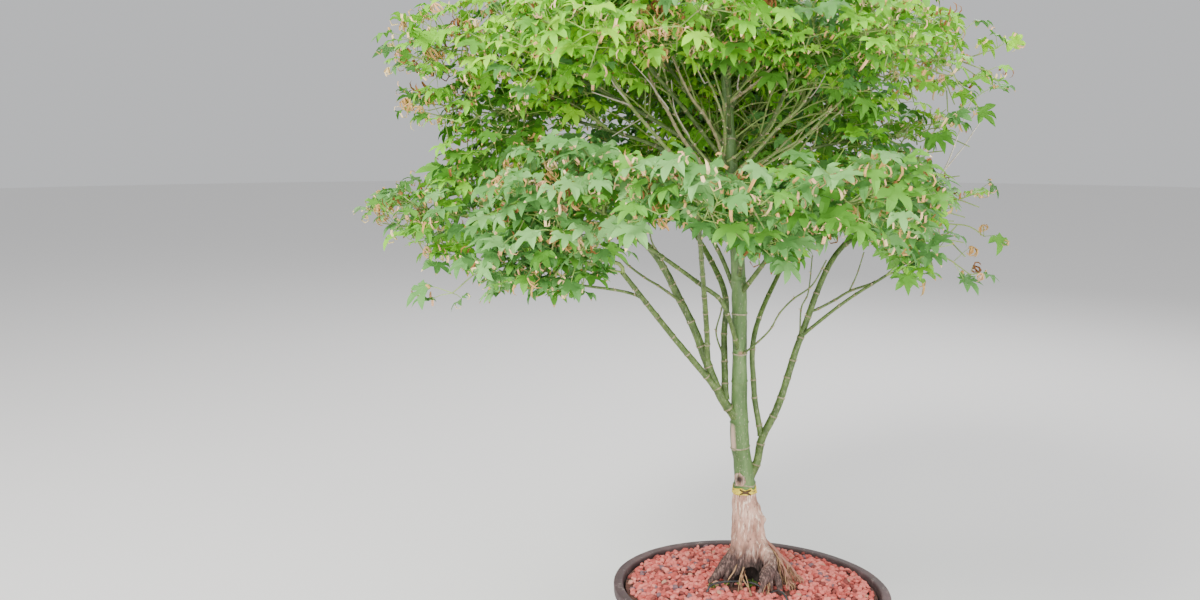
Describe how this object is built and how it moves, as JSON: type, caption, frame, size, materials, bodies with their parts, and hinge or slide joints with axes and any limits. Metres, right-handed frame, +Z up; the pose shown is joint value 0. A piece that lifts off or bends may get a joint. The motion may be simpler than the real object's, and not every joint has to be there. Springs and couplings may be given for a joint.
{
  "type": "japanese maple bonsai in pot",
  "caption": "Japanese maple bonsai: a grafted upright trunk on spreading surface roots, slender boughs under a broad leafy crown, in a shallow oval clay pot of red gravel.",
  "frame": {"origin": "centre of the pot's flat underside", "axes": "+Z up the trunk, +X along the pot's long side to the viewer's right, +Y away from the viewer"},
  "size_m": [0.7797, 0.7598, 0.8649],
  "materials": {
    "pot_clay": "unglazed dark stoneware, worn paler along the lip",
    "lava_gravel": "rough red lava gravel over soil",
    "trunk_bark": "grey-tan fissured bark below the graft, smooth grey-green bark above",
    "graft_tape": "weathered yellow tape",
    "bough_bark": "smooth olive-green young bark with tan node rings",
    "foliage": "soft green leaves, some tips dried tan"
  },
  "bodies": {
    "root": {"back_low_bough": "bough_bark", "front_bough": "bough_bark", "front_low_bough": "bough_bark", "graft_band": "graft_tape", "left_mid_bough": "bough_bark", "left_mid_upper": "bough_bark", "low_left_bough": "bough_bark", "low_left_inner": "bough_bark", "low_left_outer": "bough_bark", "low_left_trailer": "bough_bark", "low_left_upright": "bough_bark", "low_right_bough": "bough_bark", "low_right_fork": "bough_bark", "low_right_inner": "bough_bark", "mass_back_left_low": "foliage", "mass_back_low": "foliage", "mass_back_right_low": "foliage", "mass_front_centre": "foliage", "mass_front_left": "foliage", "mass_front_left_low": "foliage", "mass_front_low": "foliage", "mass_front_right": "foliage", "mass_left_low_back": "foliage", "mass_left_mid": "foliage", "mass_left_tip": "foliage", "mass_right_low": "foliage", "mass_right_mid": "foliage", "mass_right_tip": "foliage", "mass_top": "foliage", "mass_top_left": "foliage", "mass_top_right": "foliage", "mass_upper_back": "foliage", "mass_upper_back_left": "foliage", "mass_upper_back_right": "foliage", "mass_upper_front": "foliage", "mass_upper_front_left": "foliage", "mass_upper_front_right": "foliage", "mass_upper_left": "foliage", "mass_upper_right": "foliage", "pot": "pot_clay", "right_mid_bough": "bough_bark", "right_mid_upper": "bough_bark", "soil": "lava_gravel", "top_left_bough": "bough_bark", "top_right_bough": "bough_bark", "trunk": "trunk_bark", "upper_back_bough": "bough_bark", "upper_back_left_bough": "bough_bark", "upper_back_right_bough": "bough_bark", "upper_front_bough": "bough_bark", "upper_front_left_bough": "bough_bark", "upper_front_right_bough": "bough_bark", "upper_left_bough": "bough_bark", "upper_right_bough": "bough_bark"}
  },
  "joints": []
}
